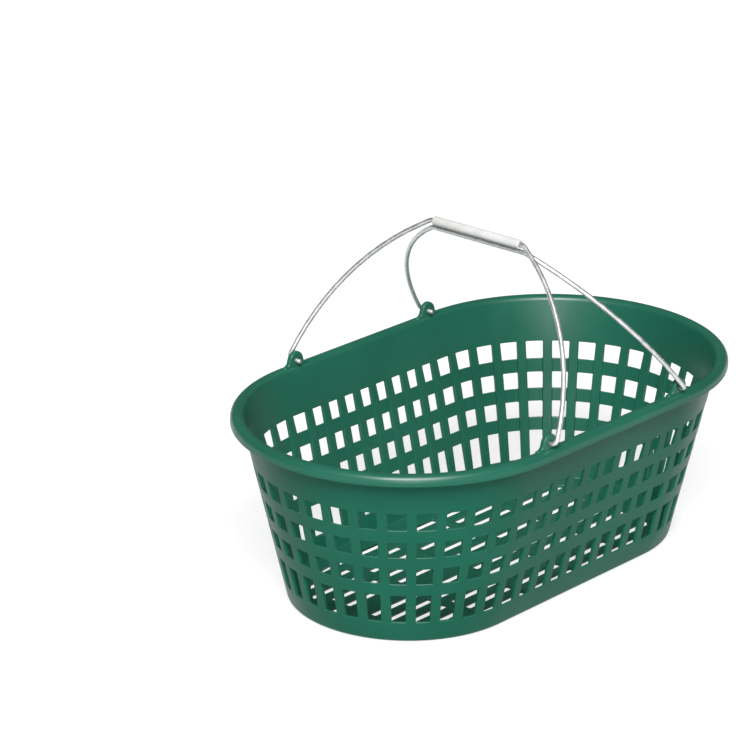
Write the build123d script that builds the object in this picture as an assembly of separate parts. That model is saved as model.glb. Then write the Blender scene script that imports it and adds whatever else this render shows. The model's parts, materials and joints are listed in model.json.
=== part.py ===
from build123d import *
import math
import os

# Oval harvest basket: a moulded lattice tub with two wire bails.
# Millimetres and degrees. X runs along the basket, Y across it and Z up.
# The origin is on the ground, under the middle of the basket.
# Front is -Y, left is -X.

# Driving dimensions of the tub
rim_length = 546.0
rim_width = 330.0
basket_height = 184.0
base_width = 227.0
lip_overhang = 9.0
lip_depth = 10.5
lip_flat = 0.5
lip_thickness = 2.4
wall_thickness = 3.0

# Heights of the lattice, from the ground up
base_band_height = 21.5
bottom_opening_height = 29.0
lower_hoop_height = 13.0
lower_opening_height = 16.0
middle_hoop_height = 13.0
middle_opening_height = 16.0
upper_hoop_height = 13.5
top_opening_height = 17.5

# Bars of the lattice: hoops let into the outer face of the upright ribs
side_opening_count = 8
side_opening_pitch = 22.6
end_opening_count = 18
hoop_thickness = 1.8
rib_thickness = 2.4
rib_width = 9.5

# Foot ring and slotted floor
foot_width = 22.0
foot_height = 5.0
foot_edge_radius = 4.0
floor_thickness = 3.0
floor_middle_width = 24.0
floor_slot_width = 8.0
floor_slots_each_side = 5
cross_bar_width = 10.0
cross_bar_spacing = 72.0

# Lugs that carry the bails
lug_spacing = 190.0
lug_thickness = 4.8
lug_inset = 5.6
lug_head_radius = 9.0
lug_foot_length = 31.0
pivot_height = 4.8

# Wire bails and the grip sleeve
wire_diameter = 4.5
pivot_clearance = 0.35
foot_gap = 0.6
foot_bend_radius = 5.0
tip_length = 5.0
leg_lean_angle = 9.5
shoulder_slope_angle = 34.0
shoulder_half = 56.5
shoulder_bend_radius = 9.0
knee_margin = 1.0
short_bail_reach = 165.0
long_bail_reach = 172.5
long_bail_lean_angle = 38.1
sleeve_diameter = 8.8
sleeve_clearance = 0.1
sleeve_end_gap = 1.5
grip_gap = 0.9

# Sizes worked out from the driving dimensions
lip_radius = rim_width / 2
straight_half = (rim_length - rim_width) / 2
base_radius = base_width / 2
floor_radius = base_radius - foot_width
floor_slots_room = floor_radius - floor_middle_width / 2
floor_bar_width = (floor_slots_room - floor_slots_each_side * floor_slot_width) / (floor_slots_each_side - 1)
floor_pitch = floor_bar_width + floor_slot_width
wall_top_radius = lip_radius - lip_overhang
wall_lean_angle = math.degrees(math.atan2(wall_top_radius - base_radius, basket_height))
wire_radius = wire_diameter / 2
sleeve_radius = sleeve_diameter / 2
pivot_x = lug_spacing / 2
pivot_z = basket_height + pivot_height
lug_outer_y = lip_radius - lug_inset
lug_inner_y = lug_outer_y - lug_thickness
lug_root = lip_thickness / 2

bottom_opening_top = base_band_height + bottom_opening_height
lower_hoop_top = bottom_opening_top + lower_hoop_height
lower_opening_top = lower_hoop_top + lower_opening_height
middle_hoop_top = lower_opening_top + middle_hoop_height
middle_opening_top = middle_hoop_top + middle_opening_height
upper_hoop_top = middle_opening_top + upper_hoop_height
lattice_top = upper_hoop_top + top_opening_height
lip_underside = basket_height - lip_thickness
skirt_bottom = basket_height - lip_depth


def wall_radius(z):
    """Outer radius of the sloping wall at height z."""
    return base_radius + (wall_top_radius - base_radius) * z / basket_height


def section_face(points):
    """Face standing in the YZ plane, from (radius, height) points, facing the front."""
    return make_face(Polyline([(0, -radius, z) for radius, z in points], close=True))


def oval_ring(face):
    """Ring with straight sides and half-round ends, from a section at the front."""
    end = revolve(face, Axis.Z, 180)
    right_end = Pos(straight_half, 0, 0) * end
    left_end = Rot(0, 0, 180) * right_end
    front_side = Pos(-straight_half, 0, 0) * extrude(face, 2 * straight_half, dir=(1, 0, 0))
    back_side = Rot(0, 0, 180) * front_side
    return (right_end + front_side + left_end + back_side).solid()


def sloping_band(low, high, thickness):
    """Band of the wall between two heights."""
    return oval_ring(section_face([
        (wall_radius(low), low),
        (wall_radius(high), high),
        (wall_radius(high) - thickness, high),
        (wall_radius(low) - thickness, low),
    ]))


def vertex_at(face, radius, z):
    """Corner of a section face nearest to a radius and height."""
    target = Vector(0, -radius, z)
    return face.vertices().sort_by_distance(target)[0]


def make_rim():
    """Lip: the wall rolls over outwards, with a narrow flat on top, and hangs down as a skirt."""
    inner_tangent = math.tan(math.radians(90 - wall_lean_angle) / 2)
    roll_radius = (lip_overhang + wall_thickness - lip_flat) / (inner_tangent + 1)
    skirt_inner = lip_radius - lip_thickness
    inner_top = (wall_top_radius - wall_thickness, basket_height)
    outer_top = (lip_radius, basket_height)
    skirt_root = (skirt_inner, lip_underside)
    wall_root = (wall_radius(lip_underside), lip_underside)
    face = section_face([
        (wall_radius(skirt_bottom) - wall_thickness, skirt_bottom),
        inner_top,
        outer_top,
        (lip_radius, skirt_bottom),
        (skirt_inner, skirt_bottom),
        skirt_root,
        wall_root,
        (wall_radius(skirt_bottom), skirt_bottom),
    ])
    for corner, radius in (
        (inner_top, roll_radius),
        (outer_top, roll_radius),
        (skirt_root, roll_radius - lip_thickness),
        (wall_root, roll_radius - wall_thickness),
    ):
        face = fillet(vertex_at(face, *corner), radius)
    return oval_ring(face)


def make_foot_ring():
    """Rounded lower edge of the wall and the flat foot inside it."""
    face = section_face([
        (floor_radius, 0),
        (base_radius, 0),
        (wall_radius(foot_height), foot_height),
        (wall_radius(foot_height) - wall_thickness, foot_height),
        (wall_radius(floor_thickness) - wall_thickness, floor_thickness),
        (floor_radius, floor_thickness),
    ])
    return oval_ring(fillet(vertex_at(face, base_radius, 0), foot_edge_radius))


def make_floor_bars():
    """Long bars of the floor, cut to the oval inside the foot ring."""
    inside = SlotCenterToCenter(2 * straight_half, 2 * floor_radius)
    strips = [Rectangle(rim_length, floor_middle_width)]
    for row in range(1, floor_slots_each_side):
        strip_y = floor_middle_width / 2 + row * floor_pitch - floor_bar_width / 2
        for side in (-1, 1):
            strips.append(Pos(0, side * strip_y) * Rectangle(rim_length, floor_bar_width))
    return [extrude(strip & inside, floor_thickness).solid() for strip in strips]


def make_floor_cross_bars():
    """Short bars across the floor slots."""
    bars = []
    for row in range(floor_slots_each_side):
        row_y = (floor_middle_width + floor_slot_width) / 2 + row * floor_pitch
        slot_edge = row_y + floor_slot_width / 2
        slot_half_length = straight_half + math.sqrt(max(floor_radius ** 2 - slot_edge ** 2, 0))
        reach = int((slot_half_length - cross_bar_width / 2) / cross_bar_spacing + 0.5)
        for place in range(-reach, reach):
            bar_x = (place + 0.5) * cross_bar_spacing
            for bar_y in (-row_y, row_y):
                bar = Pos(bar_x, bar_y) * Rectangle(cross_bar_width, floor_slot_width)
                bars.append(extrude(bar, floor_thickness).solid())
    return bars


def make_rib(seat):
    """Upright rib pointing along +X, flush with the hoops let into it, its outer faces set back by seat."""
    hoops = (
        (bottom_opening_top, lower_hoop_top),
        (lower_opening_top, middle_hoop_top),
        (middle_opening_top, upper_hoop_top),
    )
    outline = [(base_band_height, 0.0)]
    for low, high in hoops:
        outline += [(low, 0.0), (low, hoop_thickness), (high, hoop_thickness), (high, 0.0)]
    outline.append((lattice_top, 0.0))
    outline += [(z, hoop_thickness + rib_thickness) for z in (lattice_top, base_band_height)]
    points = [(wall_radius(z) - seat - depth, 0, z) for z, depth in outline]
    section = make_face(Polyline(points, close=True))
    return extrude(section, rib_width / 2, dir=(0, 1, 0), both=True).solid()


def make_rib_groups():
    """Ribs round the oval, closer together along the sides than on the ends, grouped by side and end."""
    step_radius = wall_radius((upper_hoop_top + lattice_top) / 2)
    end_length = math.pi * step_radius
    side_length = 2 * straight_half
    half_length = side_length + end_length
    half_count = side_opening_count + end_opening_count
    side_half_count = side_opening_count // 2
    end_pitch = (half_length - side_opening_count * side_opening_pitch) / end_opening_count
    curve_radius = wall_radius(base_band_height) - hoop_thickness
    curve_seat = curve_radius - math.sqrt(curve_radius ** 2 - (rib_width / 2) ** 2)
    side_rib = make_rib(0.0)
    end_rib = make_rib(curve_seat)
    groups = {"front_ribs": [], "right_end_ribs": [], "back_ribs": [], "left_end_ribs": []}
    for column in range(half_count):
        nearest = min(column, half_count - column)
        side_steps = min(nearest, side_half_count)
        travel = side_steps * side_opening_pitch + (nearest - side_steps) * end_pitch
        if nearest < column:
            travel = half_length - travel
        if travel < straight_half:
            placed = Pos(travel, 0, 0) * Rot(0, 0, -90) * side_rib
            near, far = "front_ribs", "back_ribs"
        elif travel < straight_half + end_length:
            turn = math.degrees((travel - straight_half) / step_radius) - 90
            placed = Pos(straight_half, 0, 0) * Rot(0, 0, turn) * end_rib
            near, far = "right_end_ribs", "left_end_ribs"
        else:
            placed = Pos(half_length - travel, 0, 0) * Rot(0, 0, 90) * side_rib
            near, far = "back_ribs", "front_ribs"
        groups[near].append(placed)
        groups[far].append(Rot(0, 0, 180) * placed)
    return groups


def make_lug(x, y, rim):
    """Rounded ear that grows out of the lip, with the bail hole through it along Y."""
    head = Pos(0, pivot_height) * Circle(lug_head_radius)
    foot = Line((-lug_foot_length / 2, 0), (lug_foot_length / 2, 0))
    below = Pos(0, -lug_head_radius) * Rectangle(lug_foot_length, 2 * lug_head_radius)
    profile = make_hull(head.edges() + foot.edges()) - below
    profile += Pos(0, -lug_root / 2) * Rectangle(lug_foot_length, lug_root)
    profile -= Pos(0, pivot_height) * Circle(wire_radius + pivot_clearance)
    upright = Plane(origin=(x, y, basket_height), x_dir=(1, 0, 0), z_dir=(0, -1, 0))
    return (extrude(upright * profile, lug_thickness / 2, both=True) - rim).solid()


def bend_tangent(radius, turn):
    """Length that a bend takes up on each of its two runs."""
    return radius * math.tan(math.radians(turn) / 2)


def bail_path(reach):
    """Centre line of a bail in its own plane: across, then up from the pivot axis."""
    foot_turn = 90 + leg_lean_angle
    knee_turn = 90 - shoulder_slope_angle - leg_lean_angle
    foot_y = lug_outer_y + foot_gap + bend_tangent(foot_bend_radius, foot_turn)
    lean_rate = math.tan(math.radians(leg_lean_angle))
    slope_rate = 1 / math.tan(math.radians(shoulder_slope_angle))
    knee_up = (shoulder_half + reach * slope_rate - foot_y) / (slope_rate - lean_rate)
    knee_y = foot_y - lean_rate * knee_up
    lower_run = math.hypot(foot_y - knee_y, knee_up)
    upper_run = math.hypot(knee_y - shoulder_half, reach - knee_up)
    knee_room = min(
        lower_run - bend_tangent(foot_bend_radius, foot_turn),
        upper_run - bend_tangent(shoulder_bend_radius, shoulder_slope_angle),
    ) - knee_margin
    knee_radius = knee_room / math.tan(math.radians(knee_turn) / 2)
    half = [
        (shoulder_half, reach),
        (knee_y, knee_up),
        (foot_y, 0),
        (lug_inner_y - tip_length, 0),
    ]
    radii = [shoulder_bend_radius, knee_radius, foot_bend_radius]
    points = [(-y, up) for y, up in reversed(half)] + half
    return FilletPolyline(*points, radius=radii[::-1] + radii)


def make_bail(side, reach, lean):
    """Bent wire bail, hinged at the lugs on one side (-1 left, 1 right) and leaning inwards."""
    path = bail_path(reach)
    wire = sweep(Plane(origin=path @ 0, z_dir=path % 0) * Circle(wire_radius), path=path)
    tilt = math.radians(lean)
    bail_plane = Plane(
        origin=(side * pivot_x, 0, pivot_z),
        x_dir=(0, 1, 0),
        z_dir=(math.cos(tilt), 0, side * math.sin(tilt)),
    )
    return (bail_plane * wire).solid()


def short_bail_lean():
    """Lean at which the sleeve just clears the circle that the long bail's grip swings on."""
    swing = long_bail_reach + wire_radius + sleeve_radius + grip_gap
    rise = short_bail_reach ** 2 + lug_spacing ** 2 - swing ** 2
    return 90 - math.degrees(math.acos(rise / (2 * short_bail_reach * lug_spacing)))


def make_sleeve(lean):
    """Tube on the straight top run of the short bail."""
    bend = bend_tangent(shoulder_bend_radius, shoulder_slope_angle)
    length = 2 * (shoulder_half - bend - sleeve_end_gap)
    ring = Circle(sleeve_radius) - Circle(wire_radius + sleeve_clearance)
    centre = Vector(
        short_bail_reach * math.sin(math.radians(lean)) - pivot_x,
        0,
        short_bail_reach * math.cos(math.radians(lean)) + pivot_z,
    )
    across = Plane(origin=centre, x_dir=(1, 0, 0), z_dir=(0, 1, 0))
    return extrude(across * ring, length / 2, both=True).solid()


def make_parts():
    """Every node of the basket, by name."""
    lug_y = lug_outer_y - lug_thickness / 2
    lean = short_bail_lean()
    rim = make_rim()
    nodes = {
        "rim": rim,
        "upper_band": sloping_band(lattice_top, skirt_bottom, wall_thickness),
        "upper_hoop": sloping_band(middle_opening_top, upper_hoop_top, hoop_thickness),
        "middle_hoop": sloping_band(lower_opening_top, middle_hoop_top, hoop_thickness),
        "lower_hoop": sloping_band(bottom_opening_top, lower_hoop_top, hoop_thickness),
        "base_band": sloping_band(foot_height, base_band_height, wall_thickness),
        "foot_ring": make_foot_ring(),
        "front_left_lug": make_lug(-pivot_x, -lug_y, rim),
        "front_right_lug": make_lug(pivot_x, -lug_y, rim),
        "back_left_lug": make_lug(-pivot_x, lug_y, rim),
        "back_right_lug": make_lug(pivot_x, lug_y, rim),
        "short_bail": make_bail(-1, short_bail_reach, lean),
        "long_bail": make_bail(1, long_bail_reach, long_bail_lean_angle),
        "grip_sleeve": make_sleeve(lean),
    }
    repeated = {
        "floor_bars": make_floor_bars(),
        "floor_cross_bars": make_floor_cross_bars(),
        **make_rib_groups(),
    }
    for name, bars in repeated.items():
        nodes[name] = Compound(children=bars)
    return nodes


os.makedirs("parts", exist_ok=True)
for node, shape in make_parts().items():
    export_step(shape, f"parts/{node}.step")
print("short bail lean", round(short_bail_lean(), 4))
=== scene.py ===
# Looks of the oval harvest basket: a moulded lattice tub with two wire bails and a grip sleeve.
# Sizes are in millimetres and angles in degrees; MM turns a size into Blender's metres.
# X runs along the basket, Y across it and Z up. Front is -Y, left is -X.

import json
import math

import bmesh
import bpy
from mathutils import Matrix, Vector


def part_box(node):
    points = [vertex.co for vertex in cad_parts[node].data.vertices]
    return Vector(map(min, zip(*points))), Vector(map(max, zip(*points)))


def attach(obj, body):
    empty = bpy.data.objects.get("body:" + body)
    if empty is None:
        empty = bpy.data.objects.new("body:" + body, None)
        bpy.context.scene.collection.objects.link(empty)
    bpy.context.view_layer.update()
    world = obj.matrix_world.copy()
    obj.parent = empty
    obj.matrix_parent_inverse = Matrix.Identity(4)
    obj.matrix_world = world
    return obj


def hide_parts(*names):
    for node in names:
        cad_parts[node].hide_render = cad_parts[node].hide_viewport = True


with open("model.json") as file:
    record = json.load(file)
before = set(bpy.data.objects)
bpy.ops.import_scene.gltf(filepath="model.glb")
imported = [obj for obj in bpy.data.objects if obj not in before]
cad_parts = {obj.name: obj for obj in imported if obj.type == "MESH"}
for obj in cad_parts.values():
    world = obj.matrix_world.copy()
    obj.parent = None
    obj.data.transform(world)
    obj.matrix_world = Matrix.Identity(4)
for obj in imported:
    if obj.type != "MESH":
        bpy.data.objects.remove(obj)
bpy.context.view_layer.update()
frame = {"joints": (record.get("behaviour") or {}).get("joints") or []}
MM = 0.001


def node_box(node):
    """Lowest and highest corner of a frame node, in millimetres."""
    low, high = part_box(node)
    return low / MM, high / MM


# Sizes read from the frame
rim_low, rim_high = node_box("rim")
base_high = node_box("base_band")[1]
band_low, band_high = node_box("upper_band")
lip_radius = rim_high.y
straight_half = rim_high.x - rim_high.y
basket_height = rim_high.z
skirt_bottom = rim_low.z
base_band_top = base_high.z
lattice_top = band_low.z
wall_rate = (band_high.y - base_high.y) / (band_high.z - base_high.z)

# Sizes of the tub
wall_thickness = 3.0
lip_flat = 0.5
lip_thickness = 2.4
skirt_edge_radius = 1.1
side_opening_count = 8
side_opening_pitch = 22.6
end_opening_count = 18
hoop_thickness = 1.8
rib_thickness = 2.4
rib_width = 9.5
foot_width = 22.0
foot_edge_radius = 4.0
foot_corner_radius = 2.5
moulded_edge = 0.75

# Sizes of the slotted floor, which sits a little inside the foot's two faces
floor_thickness = 3.0
floor_inset = 0.15
floor_overlap = 3.0
floor_middle_width = 24.0
floor_slot_width = 8.0
floor_slots_each_side = 5
cross_bar_width = 10.0
cross_bar_spacing = 72.0
slot_corner_radius = 2.0
slot_corner_room = 0.8
floor_edge = 0.5

# Sizes of the lugs
lug_head_radius = 9.0
lug_foot_length = 31.0
lug_flare_radius = 6.0
lug_elbow = 10.5
lug_toe_height = 0.8
lug_root = 1.2
lug_edge = 0.9
lug_hole_radius = 2.6

# Sizes of the bails and the grip sleeve
wire_diameter = 4.5
foot_gap = 0.6
foot_bend_radius = 5.0
tip_length = 5.0
tip_chamfer = 0.6
leg_lean_angle = 9.5
shoulder_slope_angle = 34.0
shoulder_half = 56.5
shoulder_bend_radius = 9.0
knee_margin = 1.0
short_bail_reach = 165.0
long_bail_reach = 172.5
long_bail_lean_angle = 38.1
sleeve_diameter = 8.8
sleeve_clearance = 0.1
sleeve_end_radius = 0.7

# Smoothness of the curves
profile_step = 20.0
lip_step = 11.0
oval_outline_step = 6.0
slot_end_points = 4
lug_head_points = 14
lug_hole_points = 28
wire_step = 4.0
wire_sides = 20
sleeve_sides = 48
moulded_edge_segments = 2
moulded_edge_angle = 40.0
plate_edge_steps = 1
weld_distance = 0.001

# Looks of the basket's plastic; scales are in features per metre, depths of grain in millimetres
plastic_dark = (0.010, 0.124, 0.077)
plastic_light = (0.013, 0.146, 0.091)
# Paler colour on sharp edges: partly wear, partly a painted highlight along the edges
plastic_wear_and_highlight = (0.035, 0.230, 0.160)
plastic_cloud_scale = 9.0
plastic_wear_and_highlight_edges = (0.53, 0.63)
plastic_wear_and_highlight_share = 0.35
plastic_rub_scale = 38.0
plastic_rub_range = (0.3, 0.7)
plastic_roughness = (0.33, 0.43)
plastic_facing = (-0.20, 0.60)
plastic_polish = (0.12, 0.85)
plastic_grain_scale = 700.0
plastic_grain_detail = 2.0
plastic_grain_strength = 0.12
plastic_grain_depth = 0.08

# Looks of the wire
wire_dull = (0.68, 0.69, 0.70)
wire_bright = (0.82, 0.83, 0.84)
wire_spangle_scale = 160.0
wire_roughness = (0.50, 0.62)
wire_grain_scale = 420.0
wire_grain_strength = 0.10
wire_grain_depth = 0.06

# Looks of the grip sleeve
grip_clean = (0.80, 0.80, 0.79)
grip_soiled = (0.66, 0.66, 0.64)
grip_soil_scale = 55.0
grip_soil_range = (0.45, 0.8)
grip_roughness = (0.32, 0.48)
grip_grain_scale = 300.0
grip_grain_strength = 0.08
grip_grain_depth = 0.06

# Values shared by the materials
noise_detail = 3.0
cloud_range = (0.35, 0.65)
full_range = (0.0, 1.0)
mix_first_socket = 6
mix_second_socket = 7
mix_result_socket = 2

# Floor, light and camera; the stage's size, the lamps' sizes and their distance are in metres, power in watts
stage_half_size = 25.0
stage_gap = 0.3
stage_grey = 0.42
stage_lift = 0.68
ambient_strength = 0.08
light_target = Vector((0, 0, 120))
light_distance = 12.0
light_azimuth = -47.5
key_elevation = 46.0
key_width = 5.6
key_height = 5.6
key_power = 1600.0
strip_elevation = 5.0
strip_width = 3.2
strip_height = 2.0
strip_power = 330.0
fill_azimuth = 150.0
fill_elevation = 32.0
fill_width = 5.6
fill_height = 4.0
fill_power = 500.0
camera_azimuth = -47.53
camera_elevation = 20.7
camera_distance = 3103.8
camera_target = Vector((-163.36, 0.0, 239.66))
camera_lens = 167.33

# Nodes of the lugs, and nodes that the tub's skin stands for
lug_nodes = ("front_left_lug", "front_right_lug", "back_left_lug", "back_right_lug")
tub_nodes = (
    "rim", "upper_band", "upper_hoop", "middle_hoop", "lower_hoop", "base_band", "foot_ring",
    "front_ribs", "back_ribs", "left_end_ribs", "right_end_ribs",
)

# Sizes worked out from the ones above
half_count = side_opening_count + end_opening_count
wire_radius = wire_diameter / 2
sleeve_radius = sleeve_diameter / 2
pivots = {joint["name"]: Vector(joint["pos_m"]) / MM for joint in frame["joints"]}
short_pivot = pivots["short_bail_swing"]
long_pivot = pivots["long_bail_swing"]
pivot_z = short_pivot.z
lug_inner_y = node_box("back_left_lug")[0].y
lug_outer_y = node_box("back_left_lug")[1].y
grip_rise = pivots["sleeve_turn"] - short_pivot
short_bail_lean_angle = math.degrees(math.atan2(grip_rise.x, grip_rise.z))


def wall_radius(z):
    """Outer radius of the sloping wall at height z."""
    return base_high.y + wall_rate * (z - base_high.z)


base_radius = wall_radius(0)
floor_radius = base_radius - foot_width
floor_slots_room = floor_radius - floor_middle_width / 2
floor_bar_width = (floor_slots_room - floor_slots_each_side * floor_slot_width) / (floor_slots_each_side - 1)
floor_pitch = floor_bar_width + floor_slot_width


# Outlines


def round_corners(corners, step, closed=False):
    """Points of an outline whose corners (a, b, radius) are rounded by arcs, one point per step of turn."""
    points = []
    count = len(corners)
    for index, (a, b, radius) in enumerate(corners):
        here = Vector((a, b))
        at_end = not closed and index in (0, count - 1)
        if radius == 0 or at_end:
            points.append(here)
            continue
        before = (Vector(corners[index - 1][:2]) - here).normalized()
        after = (Vector(corners[(index + 1) % count][:2]) - here).normalized()
        half_angle = before.angle(after) / 2
        turn = math.pi - 2 * half_angle
        centre = here + (before + after).normalized() * (radius / math.sin(half_angle))
        start = here + before * (radius / math.tan(half_angle)) - centre
        sign = 1 if before.x * after.y - before.y * after.x < 0 else -1
        pieces = max(1, math.ceil(math.degrees(turn) / step))
        for piece in range(pieces + 1):
            angle = sign * turn * piece / pieces
            points.append(centre + Vector((
                start.x * math.cos(angle) - start.y * math.sin(angle),
                start.x * math.sin(angle) + start.y * math.cos(angle),
            )))
    return points


def new_object(name, mesh):
    """Object for a mesh, linked to the scene."""
    piece = bpy.data.objects.new(name, mesh)
    bpy.context.scene.collection.objects.link(piece)
    return piece


def finish_mesh(name, builder):
    """Object from a bmesh, with its faces turned outwards and shaded smooth."""
    builder.normal_update()
    bmesh.ops.recalc_face_normals(builder, faces=builder.faces)
    mesh = bpy.data.meshes.new(name)
    builder.to_mesh(mesh)
    builder.free()
    mesh.shade_smooth()
    return new_object(name, mesh)


# The tub: one moulding with a lip, bands, hoops, ribs and a foot


def oval_point(travel, radius, z):
    """Point on the oval of this end radius; travel goes from the front middle round the right end."""
    end_length = math.pi * radius
    if travel <= straight_half:
        return Vector((travel, -radius, z))
    if travel < straight_half + end_length:
        turn = (travel - straight_half) / radius - math.pi / 2
        return Vector((straight_half + radius * math.cos(turn), radius * math.sin(turn), z))
    return Vector((2 * straight_half + end_length - travel, radius, z))


def rib_span(column, radius, step_radius):
    """Travel to the middle of a rib, and half its width, on the oval of this radius."""
    end_length = math.pi * step_radius
    half_length = 2 * straight_half + end_length
    end_pitch = (half_length - side_opening_count * side_opening_pitch) / end_opening_count
    nearest = min(column, half_count - column)
    side_steps = min(nearest, side_opening_count // 2)
    travel = side_steps * side_opening_pitch + (nearest - side_steps) * end_pitch
    if nearest < column:
        travel = half_length - travel
    if travel < straight_half:
        return travel, rib_width / 2
    if travel < straight_half + end_length:
        turn = (travel - straight_half) / step_radius
        return straight_half + radius * turn, radius * math.asin(rib_width / 2 / radius)
    return travel + math.pi * (radius - step_radius), rib_width / 2


def line_point(line, radius, z, step_radius):
    """Point where an upright line of the tub meets a radius and height."""
    half_loop, column, place = line
    middle, half_width = rib_span(column, radius, step_radius)
    travel = middle + min(place, 1) * half_width
    if place > 1:
        next_middle, next_half_width = rib_span(column + 1, radius, step_radius)
        travel += (place - 1) * (next_middle - next_half_width - travel)
    point = oval_point(travel, radius, z)
    if half_loop:
        point.x, point.y = -point.x, -point.y
    return point * MM


def lip_profile():
    """Skin over the rolled lip, from the outer wall at the lattice to the inner wall at the lattice."""
    skirt_inner = lip_radius - lip_thickness
    lip_underside = basket_height - lip_thickness
    top_inner = wall_radius(basket_height) - wall_thickness
    roll_turn = math.pi / 2 - math.atan(wall_rate)
    roll_radius = (lip_radius - top_inner - lip_flat) / (math.tan(roll_turn / 2) + 1)
    return round_corners([
        (wall_radius(lattice_top), lattice_top, 0),
        (wall_radius(lip_underside), lip_underside, roll_radius - wall_thickness),
        (skirt_inner, lip_underside, roll_radius - lip_thickness),
        (skirt_inner, skirt_bottom, skirt_edge_radius),
        (lip_radius, skirt_bottom, skirt_edge_radius),
        (lip_radius, basket_height, roll_radius),
        (top_inner, basket_height, roll_radius),
        (wall_radius(lattice_top) - wall_thickness, lattice_top, 0),
    ], lip_step)[1:-1]


def foot_profile():
    """Skin under the foot, from the inner wall at the base band to the outer wall."""
    inner_corner = wall_radius(floor_thickness) - wall_thickness
    return round_corners([
        (wall_radius(base_band_top) - wall_thickness, base_band_top, 0),
        (inner_corner, floor_thickness, foot_corner_radius),
        (floor_radius, floor_thickness, moulded_edge),
        (floor_radius, 0, moulded_edge),
        (base_radius, 0, foot_edge_radius),
        (wall_radius(base_band_top), base_band_top, 0),
    ], profile_step)[1:-1]


def make_tub():
    """Tub skin built on upright lines round the oval and on the levels of the lattice."""
    levels = [base_band_top]
    for hoop in ("lower_hoop", "middle_hoop", "upper_hoop"):
        low, high = node_box(hoop)
        levels += [low.z, high.z]
    levels.append(lattice_top)
    top = len(levels) - 1
    step_radius = wall_radius((levels[top - 1] + lattice_top) / 2)
    rib_places = (-1, 0)
    gap_places = (1, 4 / 3, 5 / 3)
    lines = [
        (half_loop, column, place)
        for half_loop in (False, True)
        for column in range(half_count)
        for place in rib_places + gap_places
    ]
    builder = bmesh.new()
    verts = {}

    def vert(index, level, layer):
        """Corner of the lattice: layer 0 is the outer face, 1 the hoops' inner face, 2 the inner face."""
        key = (index % len(lines), level, layer)
        if key not in verts:
            z = levels[level]
            inner = wall_thickness if level in (0, top) else hoop_thickness + rib_thickness
            depth = (0.0, hoop_thickness, inner)[layer]
            verts[key] = builder.verts.new(line_point(lines[key[0]], wall_radius(z) - depth, z, step_radius))
        return verts[key]

    def upright(index, level, layer):
        """Face between two upright lines and two levels."""
        builder.faces.new([
            vert(index, level, layer), vert(index + 1, level, layer),
            vert(index + 1, level + 1, layer), vert(index, level + 1, layer),
        ])

    def level_face(index, level, layer):
        """Face at one level, between two lines and two layers."""
        builder.faces.new([
            vert(index, level, layer), vert(index + 1, level, layer),
            vert(index + 1, level, layer + 1), vert(index, level, layer + 1),
        ])

    def rib_side(index, level, layer):
        """Side face of a rib between two levels and two layers."""
        builder.faces.new([
            vert(index, level, layer), vert(index, level, layer + 1),
            vert(index, level + 1, layer + 1), vert(index, level + 1, layer),
        ])

    def skirt(index, first, last, rows):
        """Strip of faces along a profile between two upright lines, joined to the lattice at both ends."""
        near, far = rows[index], rows[(index + 1) % len(lines)]
        left = [vert(index, *first)] + near + [vert(index, *last)]
        right = [vert(index + 1, *first)] + far + [vert(index + 1, *last)]
        for low in range(len(left) - 1):
            builder.faces.new([left[low], right[low], right[low + 1], left[low + 1]])

    for index, (_, _, place) in enumerate(lines):
        on_rib = place in rib_places
        for level in range(top):
            is_hoop = level % 2 == 1
            at_rib_edge = place in (rib_places[0], gap_places[0])
            if is_hoop or on_rib:
                upright(index, level, 0)
            if is_hoop and not on_rib:
                upright(index, level, 1)
                level_face(index, level, 0)
                level_face(index, level + 1, 0)
            if on_rib:
                upright(index, level, 2)
            if at_rib_edge:
                rib_side(index, level, 1)
            if at_rib_edge and not is_hoop:
                rib_side(index, level, 0)
        for level in (0, top):
            if not on_rib:
                level_face(index, level, 0)
                level_face(index, level, 1)

    for profile, first, last in (
        (lip_profile(), (top, 0), (top, 2)),
        (foot_profile(), (0, 2), (0, 0)),
    ):
        rows = [
            [builder.verts.new(line_point(line, radius, z, step_radius)) for radius, z in profile]
            for line in lines
        ]
        for index in range(len(lines)):
            skirt(index, first, last, rows)
    return finish_mesh("tub", builder)


def soften_edges(piece, width):
    """Small round on the piece's sharp edges, as a mould leaves them."""
    bevel = piece.modifiers.new("moulded_edges", "BEVEL")
    bevel.width = width * MM
    bevel.segments = moulded_edge_segments
    bevel.limit_method = "ANGLE"
    bevel.angle_limit = math.radians(moulded_edge_angle)
    bevel.harden_normals = True


# Flat plates: the floor and the lugs


def plate_builder(name, outlines, thickness, edge):
    """Flat plate in XY with rounded edges that stand out by edge; outlines after the first are holes."""
    curve = bpy.data.curves.new(name, "CURVE")
    curve.dimensions = "2D"
    curve.fill_mode = "BOTH"
    curve.extrude = (thickness / 2 - edge) * MM
    curve.bevel_depth = edge * MM
    curve.bevel_resolution = plate_edge_steps
    for outline in outlines:
        spline = curve.splines.new("POLY")
        spline.points.add(len(outline) - 1)
        spline.use_cyclic_u = True
        for point, (a, b) in zip(spline.points, outline):
            point.co = (a * MM, b * MM, 0, 1)
    holder = new_object(name + "_outline", curve)
    mesh = bpy.data.meshes.new_from_object(holder.evaluated_get(bpy.context.evaluated_depsgraph_get()))
    bpy.data.objects.remove(holder)
    builder = bmesh.new()
    builder.from_mesh(mesh)
    bpy.data.meshes.remove(mesh)
    bmesh.ops.remove_doubles(builder, verts=builder.verts, dist=weld_distance * MM)
    flat = [face for face in builder.faces if len(face.verts) == 3]
    inner = [edge for edge in builder.edges if all(len(face.verts) == 3 for face in edge.link_faces)]
    bmesh.ops.beautify_fill(builder, faces=flat, edges=inner)
    return builder


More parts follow.
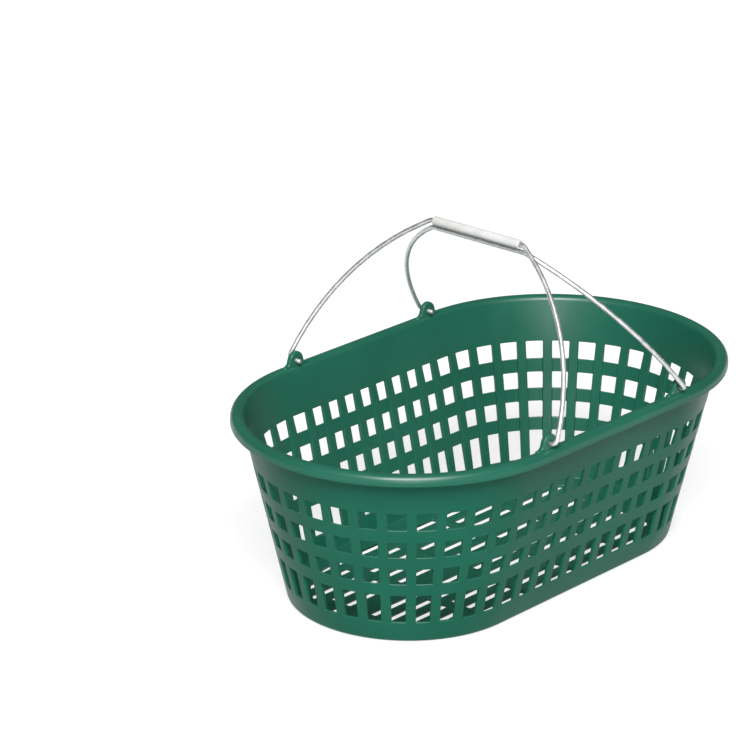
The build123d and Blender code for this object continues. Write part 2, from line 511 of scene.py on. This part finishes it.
def oval_outline(radius):
    """Closed outline of the oval of this end radius."""
    length = 4 * straight_half + 2 * math.pi * radius
    count = math.ceil(length / oval_outline_step)
    half = length / 2
    points = []
    for index in range(count):
        travel = index * length / count
        point = oval_point(travel % half, radius, 0)
        sign = 1 if travel < half else -1
        points.append((sign * point.x, sign * point.y))
    return points


def slot_outline(low_y, high_y, low_x, high_x):
    """Outline of one floor slot between two heights of the plan, with its far end cut by the oval."""
    radius = floor_radius + floor_edge
    corners = [Vector((low_x, high_y)), Vector((low_x, low_y))]
    for share in range(slot_end_points + 1):
        y = low_y + (high_y - low_y) * share / slot_end_points
        limit = straight_half + math.sqrt(max(radius ** 2 - y ** 2, 0))
        corners.append(Vector((min(high_x, limit), y)))
    rounded = []
    for index, corner in enumerate(corners):
        before = corners[index - 1] - corner
        after = corners[(index + 1) % len(corners)] - corner
        room = slot_corner_room * min(before.length, after.length) * math.tan(before.angle(after) / 2)
        is_end = index in (0, 1, 2, len(corners) - 1)
        rounded.append((corner.x, corner.y, min(slot_corner_radius, room) if is_end else 0))
    return [tuple(point) for point in round_corners(rounded, profile_step, closed=True)]


def make_floor():
    """Slotted floor: long bars held by cross bars, its border buried in the foot."""
    outlines = [oval_outline(floor_radius + floor_overlap)]
    for row in range(floor_slots_each_side):
        middle = (floor_middle_width + floor_slot_width) / 2 + row * floor_pitch
        half = floor_slot_width / 2 + floor_edge
        bar_half = cross_bar_width / 2 - floor_edge
        slot_edge = middle + floor_slot_width / 2
        slot_half_length = straight_half + math.sqrt(max(floor_radius ** 2 - slot_edge ** 2, 0))
        bars_each_side = int((slot_half_length - cross_bar_width / 2) / cross_bar_spacing + 0.5)
        for place in range(bars_each_side + 1):
            low_x = (place - 0.5) * cross_bar_spacing + bar_half
            high_x = (place + 0.5) * cross_bar_spacing - bar_half
            if place == bars_each_side:
                high_x = rim_high.x
            outline = slot_outline(middle - half, middle + half, low_x, high_x)
            for sign_x in (1, -1) if place else (1,):
                for sign_y in (1, -1):
                    outlines.append([(sign_x * x, sign_y * y) for x, y in outline])
    builder = plate_builder("floor", outlines, floor_thickness - 2 * floor_inset, floor_edge)
    bmesh.ops.translate(builder, verts=builder.verts, vec=(0, 0, floor_thickness / 2 * MM))
    return finish_mesh("floor_grille", builder)


def make_lug(node):
    """Ear with flared feet and an eased bail hole, standing on the lip."""
    low, high = node_box(node)
    middle = (low + high) / 2
    pivot_height = pivot_z - basket_height
    head = lug_head_radius - lug_edge
    elbow = Vector((lug_elbow - lug_edge, lug_toe_height - lug_edge))
    centre = Vector((0, pivot_height))
    reach = centre - elbow
    rise = math.atan2(reach.y, -reach.x) + math.asin(head / reach.length)
    run = math.sqrt(reach.length_squared - head ** 2)
    touch = elbow + Vector((-math.cos(rise), math.sin(rise))) * run
    first_turn = math.atan2(touch.y - centre.y, touch.x - centre.x)
    arc = []
    for share in range(1, lug_head_points):
        turn = first_turn + (math.pi - 2 * first_turn) * share / lug_head_points
        arc.append((head * math.cos(turn), pivot_height + head * math.sin(turn), 0))
    side = [
        (lug_foot_length / 2, -lug_root, 0),
        (lug_foot_length / 2, elbow.y, 0),
        (elbow.x, elbow.y, lug_flare_radius),
        (touch.x, touch.y, 0),
    ]
    other_side = [(-x, y, radius) for x, y, radius in reversed(side)]
    outline = [tuple(point) for point in round_corners(side + arc + other_side, profile_step, closed=True)]
    hole_radius = lug_hole_radius + lug_edge
    hole = []
    for index in range(lug_hole_points):
        turn = 2 * math.pi * index / lug_hole_points
        hole.append((hole_radius * math.cos(turn), pivot_height + hole_radius * math.sin(turn)))
    builder = plate_builder(node, [outline, hole], high.y - low.y, lug_edge)
    for corner in builder.verts:
        x, up, across = corner.co
        corner.co = (middle.x * MM + x, middle.y * MM + across, basket_height * MM + up)
    return finish_mesh(node + "_ear", builder)


# Wire bails and the grip sleeve


def bend_tangent(radius, turn):
    """Length that a bend takes up on each of its two runs."""
    return radius * math.tan(math.radians(turn) / 2)


def bail_path(reach):
    """Centre line of a bail in its own plane: across, then up from the pivot axis."""
    foot_turn = 90 + leg_lean_angle
    knee_turn = 90 - shoulder_slope_angle - leg_lean_angle
    foot_y = lug_outer_y + foot_gap + bend_tangent(foot_bend_radius, foot_turn)
    lean_rate = math.tan(math.radians(leg_lean_angle))
    slope_rate = 1 / math.tan(math.radians(shoulder_slope_angle))
    knee_up = (shoulder_half + reach * slope_rate - foot_y) / (slope_rate - lean_rate)
    knee_y = foot_y - lean_rate * knee_up
    knee_room = min(
        math.hypot(foot_y - knee_y, knee_up) - bend_tangent(foot_bend_radius, foot_turn),
        math.hypot(knee_y - shoulder_half, reach - knee_up)
        - bend_tangent(shoulder_bend_radius, shoulder_slope_angle),
    ) - knee_margin
    knee_radius = knee_room / math.tan(math.radians(knee_turn) / 2)
    half = [
        (shoulder_half, reach, shoulder_bend_radius),
        (knee_y, knee_up, knee_radius),
        (foot_y, 0, foot_bend_radius),
        (lug_inner_y - tip_length, 0, 0),
    ]
    other_half = [(-y, up, radius) for y, up, radius in reversed(half)]
    return round_corners(other_half + half, wire_step)


def make_bail(name, pivot_x, reach, lean):
    """Bent wire whose two ends are the hinge pins, with its cut ends eased."""
    path = bail_path(reach)
    tangents = []
    for index in range(len(path)):
        before = path[max(index - 1, 0)]
        after = path[min(index + 1, len(path) - 1)]
        tangents.append((after - before).normalized())
    rings = [(path[0], tangents[0], wire_radius - tip_chamfer)]
    rings.append((path[0] + tangents[0] * tip_chamfer, tangents[0], wire_radius))
    rings += [(point, tangent, wire_radius) for point, tangent in zip(path[1:-1], tangents[1:-1])]
    rings.append((path[-1] - tangents[-1] * tip_chamfer, tangents[-1], wire_radius))
    rings.append((path[-1], tangents[-1], wire_radius - tip_chamfer))
    side = 1 if pivot_x > 0 else -1
    tilt = math.radians(lean)
    pivot = Vector((pivot_x, 0, pivot_z))
    across = Vector((0, 1, 0))
    up = Vector((-side * math.sin(tilt), 0, math.cos(tilt)))
    normal = across.cross(up)
    builder = bmesh.new()
    loops = []
    for point, tangent, radius in rings:
        inward = across * -tangent.y + up * tangent.x
        loop = []
        for index in range(wire_sides):
            turn = 2 * math.pi * index / wire_sides
            spot = pivot + across * point.x + up * point.y
            spot += (inward * math.cos(turn) + normal * math.sin(turn)) * radius
            loop.append(builder.verts.new(spot * MM))
        loops.append(loop)
    for near, far in zip(loops, loops[1:]):
        for index in range(wire_sides):
            after = (index + 1) % wire_sides
            builder.faces.new([near[index], near[after], far[after], far[index]])
    builder.faces.new(loops[0])
    builder.faces.new(loops[-1])
    return finish_mesh(name, builder)


def make_sleeve():
    """Tube on the straight top run of the short bail, with eased ends."""
    low, high = node_box("grip_sleeve")
    middle = (low + high) / 2
    half_length = (high.y - low.y) / 2
    bore = wire_radius + sleeve_clearance
    profile = round_corners([
        (bore, -half_length, sleeve_end_radius),
        (sleeve_radius, -half_length, sleeve_end_radius),
        (sleeve_radius, half_length, sleeve_end_radius),
        (bore, half_length, sleeve_end_radius),
    ], profile_step, closed=True)
    builder = bmesh.new()
    loops = []
    for index in range(sleeve_sides):
        turn = 2 * math.pi * index / sleeve_sides
        loops.append([
            builder.verts.new(Vector((
                middle.x + radius * math.cos(turn), middle.y + along, middle.z + radius * math.sin(turn),
            )) * MM)
            for radius, along in profile
        ])
    for index, near in enumerate(loops):
        far = loops[(index + 1) % sleeve_sides]
        for spot in range(len(profile)):
            after = (spot + 1) % len(profile)
            builder.faces.new([near[spot], near[after], far[after], far[spot]])
    return finish_mesh("grip_tube", builder)


# Materials


def new_material(name):
    """Material with its node tree, its main shader and a socket of object coordinates."""
    material = bpy.data.materials.new(name)
    material.use_nodes = True
    tree = material.node_tree
    shader = tree.nodes["Principled BSDF"]
    place = tree.nodes.new("ShaderNodeTexCoord").outputs["Object"]
    return material, tree, shader, place


def noise(tree, place, scale, detail=noise_detail):
    """Noise value at a scale given in features per metre."""
    node = tree.nodes.new("ShaderNodeTexNoise")
    node.inputs["Scale"].default_value = scale
    node.inputs["Detail"].default_value = detail
    tree.links.new(place, node.inputs["Vector"])
    return node.outputs["Fac"]


def remap(tree, value, source, target):
    """Value moved from one range to another and held inside it."""
    node = tree.nodes.new("ShaderNodeMapRange")
    for socket, number in zip(("From Min", "From Max", "To Min", "To Max"), source + target):
        node.inputs[socket].default_value = number
    tree.links.new(value, node.inputs["Value"])
    return node.outputs["Result"]


def mix_colours(tree, share, first, second):
    """Colour between two others; each is a colour or a socket."""
    node = tree.nodes.new("ShaderNodeMix")
    node.data_type = "RGBA"
    tree.links.new(share, node.inputs["Factor"])
    for number, colour in ((mix_first_socket, first), (mix_second_socket, second)):
        socket = node.inputs[number]
        if isinstance(colour, tuple):
            socket.default_value = colour + (1.0,)
        else:
            tree.links.new(colour, socket)
    return node.outputs[mix_result_socket]


def add_bump(tree, shader, height, strength, distance):
    """Fine relief from a height value; distance is in millimetres."""
    node = tree.nodes.new("ShaderNodeBump")
    node.inputs["Strength"].default_value = strength
    node.inputs["Distance"].default_value = distance * MM
    tree.links.new(height, node.inputs["Height"])
    tree.links.new(node.outputs["Normal"], shader.inputs["Normal"])


def make_basket_plastic():
    """Satin green polyethylene: cloudy colour, edges paler from wear and from a painted edge highlight,
    duller below and glossier on the lip.
    """
    material, tree, shader, place = new_material("basket_plastic")
    clouds = remap(tree, noise(tree, place, plastic_cloud_scale), cloud_range, full_range)
    body = mix_colours(tree, clouds, plastic_dark, plastic_light)
    # Sharp edges turn paler: partly wear, partly a painted highlight where edges would catch the light
    edges = tree.nodes.new("ShaderNodeNewGeometry").outputs["Pointiness"]
    wear_and_highlight = remap(tree, edges, plastic_wear_and_highlight_edges, (0.0, plastic_wear_and_highlight_share))
    colour = mix_colours(tree, wear_and_highlight, body, plastic_wear_and_highlight)
    tree.links.new(colour, shader.inputs["Base Color"])
    rubbed = remap(tree, noise(tree, place, plastic_rub_scale), plastic_rub_range, plastic_roughness)
    tree.links.new(rubbed, shader.inputs["Roughness"])
    facing = tree.nodes.new("ShaderNodeSeparateXYZ")
    tree.links.new(tree.nodes.new("ShaderNodeTexCoord").outputs["Normal"], facing.inputs[0])
    polish = remap(tree, facing.outputs["Z"], plastic_facing, plastic_polish)
    tree.links.new(polish, shader.inputs["Specular IOR Level"])
    grain = noise(tree, place, plastic_grain_scale, plastic_grain_detail)
    add_bump(tree, shader, grain, plastic_grain_strength, plastic_grain_depth)
    return material


def make_bail_wire():
    """Bright galvanised steel wire with faint zinc clouding."""
    material, tree, shader, place = new_material("bail_wire")
    shader.inputs["Metallic"].default_value = 1.0
    spangle = remap(tree, noise(tree, place, wire_spangle_scale), cloud_range, full_range)
    colour = mix_colours(tree, spangle, wire_dull, wire_bright)
    tree.links.new(colour, shader.inputs["Base Color"])
    tree.links.new(remap(tree, spangle, full_range, wire_roughness), shader.inputs["Roughness"])
    add_bump(tree, shader, noise(tree, place, wire_grain_scale), wire_grain_strength, wire_grain_depth)
    return material


def make_grip_plastic():
    """Pale smooth tube, a little soiled by hands."""
    material, tree, shader, place = new_material("grip_plastic")
    soil = remap(tree, noise(tree, place, grip_soil_scale), grip_soil_range, full_range)
    colour = mix_colours(tree, soil, grip_clean, grip_soiled)
    tree.links.new(colour, shader.inputs["Base Color"])
    tree.links.new(remap(tree, soil, full_range, grip_roughness), shader.inputs["Roughness"])
    add_bump(tree, shader, noise(tree, place, grip_grain_scale), grip_grain_strength, grip_grain_depth)
    return material


# Floor, light and camera


def view_direction(azimuth, elevation):
    """Direction from the object towards a viewer; azimuth 0 is in front, on -Y."""
    turn, rise = math.radians(azimuth), math.radians(elevation)
    return Vector((
        math.sin(turn) * math.cos(rise),
        -math.cos(turn) * math.cos(rise),
        math.sin(rise),
    ))


def seen_by_viewer(tree):
    """Share that is 1 for camera, glossy and transmission rays."""
    path = tree.nodes.new("ShaderNodeLightPath")
    total = path.outputs["Is Camera Ray"]
    for name in ("Is Glossy Ray", "Is Transmission Ray"):
        node = tree.nodes.new("ShaderNodeMath")
        node.operation = "MAXIMUM"
        tree.links.new(total, node.inputs[0])
        tree.links.new(path.outputs[name], node.inputs[1])
        total = node.outputs[0]
    return total


def make_stage():
    """Plain pale floor that reads white and keeps the basket's shadow."""
    builder = bmesh.new()
    bmesh.ops.create_grid(builder, x_segments=1, y_segments=1, size=stage_half_size)
    stage = finish_mesh("studio_floor", builder)
    stage.location.z = -stage_gap * MM
    material = bpy.data.materials.new("studio_floor")
    material.use_nodes = True
    tree = material.node_tree
    tree.nodes.clear()
    matt = tree.nodes.new("ShaderNodeBsdfDiffuse")
    matt.inputs["Color"].default_value = (stage_grey, stage_grey, stage_grey, 1.0)
    lift = tree.nodes.new("ShaderNodeEmission")
    total = tree.nodes.new("ShaderNodeAddShader")
    strength = remap(tree, seen_by_viewer(tree), full_range, (0.0, stage_lift))
    tree.links.new(strength, lift.inputs["Strength"])
    tree.links.new(matt.outputs[0], total.inputs[0])
    tree.links.new(lift.outputs[0], total.inputs[1])
    output = tree.nodes.new("ShaderNodeOutputMaterial")
    tree.links.new(total.outputs[0], output.inputs["Surface"])
    stage.data.materials.append(material)


def make_world():
    """Weak even light from all round."""
    world = bpy.data.worlds.new("studio")
    bpy.context.scene.world = world
    world.use_nodes = True
    tree = world.node_tree
    background = tree.nodes["Background"]
    background.inputs["Color"].default_value = (1.0, 1.0, 1.0, 1.0)
    background.inputs["Strength"].default_value = ambient_strength


def make_softbox(name, azimuth, elevation, width, height, power, glints=True):
    """Soft light that faces the basket; without glints it shows in no highlight."""
    lamp = bpy.data.lights.new(name, "AREA")
    lamp.shape = "RECTANGLE"
    lamp.size = width
    lamp.size_y = height
    lamp.energy = power
    direction = view_direction(azimuth, elevation)
    holder = bpy.data.objects.new(name, lamp)
    holder.location = light_target * MM + direction * light_distance
    holder.visible_glossy = glints
    holder.rotation_euler = (-direction).to_track_quat("-Z", "Y").to_euler()
    bpy.context.scene.collection.objects.link(holder)


def make_camera():
    """Camera at the photograph's viewing angle."""
    lens = bpy.data.cameras.new("photo_view")
    lens.lens = camera_lens
    camera = bpy.data.objects.new("photo_view", lens)
    direction = view_direction(camera_azimuth, camera_elevation)
    camera.location = (camera_target + direction * camera_distance) * MM
    camera.rotation_euler = (-direction).to_track_quat("-Z", "Y").to_euler()
    bpy.context.scene.collection.objects.link(camera)
    bpy.context.scene.camera = camera


def dress(piece, body, material, slot, *nodes):
    """Give a piece its material and tie it to the frame."""
    piece.data.materials.append(material)
    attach(piece, body)
    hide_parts(*nodes)


basket_plastic = make_basket_plastic()
bail_wire = make_bail_wire()
grip_plastic = make_grip_plastic()

tub = make_tub()
soften_edges(tub, moulded_edge)
dress(tub, "basket", basket_plastic, "basket_plastic", *tub_nodes)
dress(make_floor(), "basket", basket_plastic, "basket_plastic", "floor_bars", "floor_cross_bars")
for lug in lug_nodes:
    dress(make_lug(lug), "basket", basket_plastic, "basket_plastic", lug)
short_bail = make_bail("short_bail_wire", short_pivot.x, short_bail_reach, short_bail_lean_angle)
dress(short_bail, "short_bail", bail_wire, "bail_wire", "short_bail")
long_bail = make_bail("long_bail_wire", long_pivot.x, long_bail_reach, long_bail_lean_angle)
dress(long_bail, "long_bail", bail_wire, "bail_wire", "long_bail")
dress(make_sleeve(), "grip_sleeve", grip_plastic, "grip_plastic", "grip_sleeve")

make_stage()
make_world()
make_softbox("key_softbox", light_azimuth, key_elevation, key_width, key_height, key_power)
make_softbox("low_strip", light_azimuth, strip_elevation, strip_width, strip_height, strip_power)
make_softbox("back_fill", fill_azimuth, fill_elevation, fill_width, fill_height, fill_power, glints=False)
make_camera()
bpy.context.scene.view_settings.view_transform = "Standard"
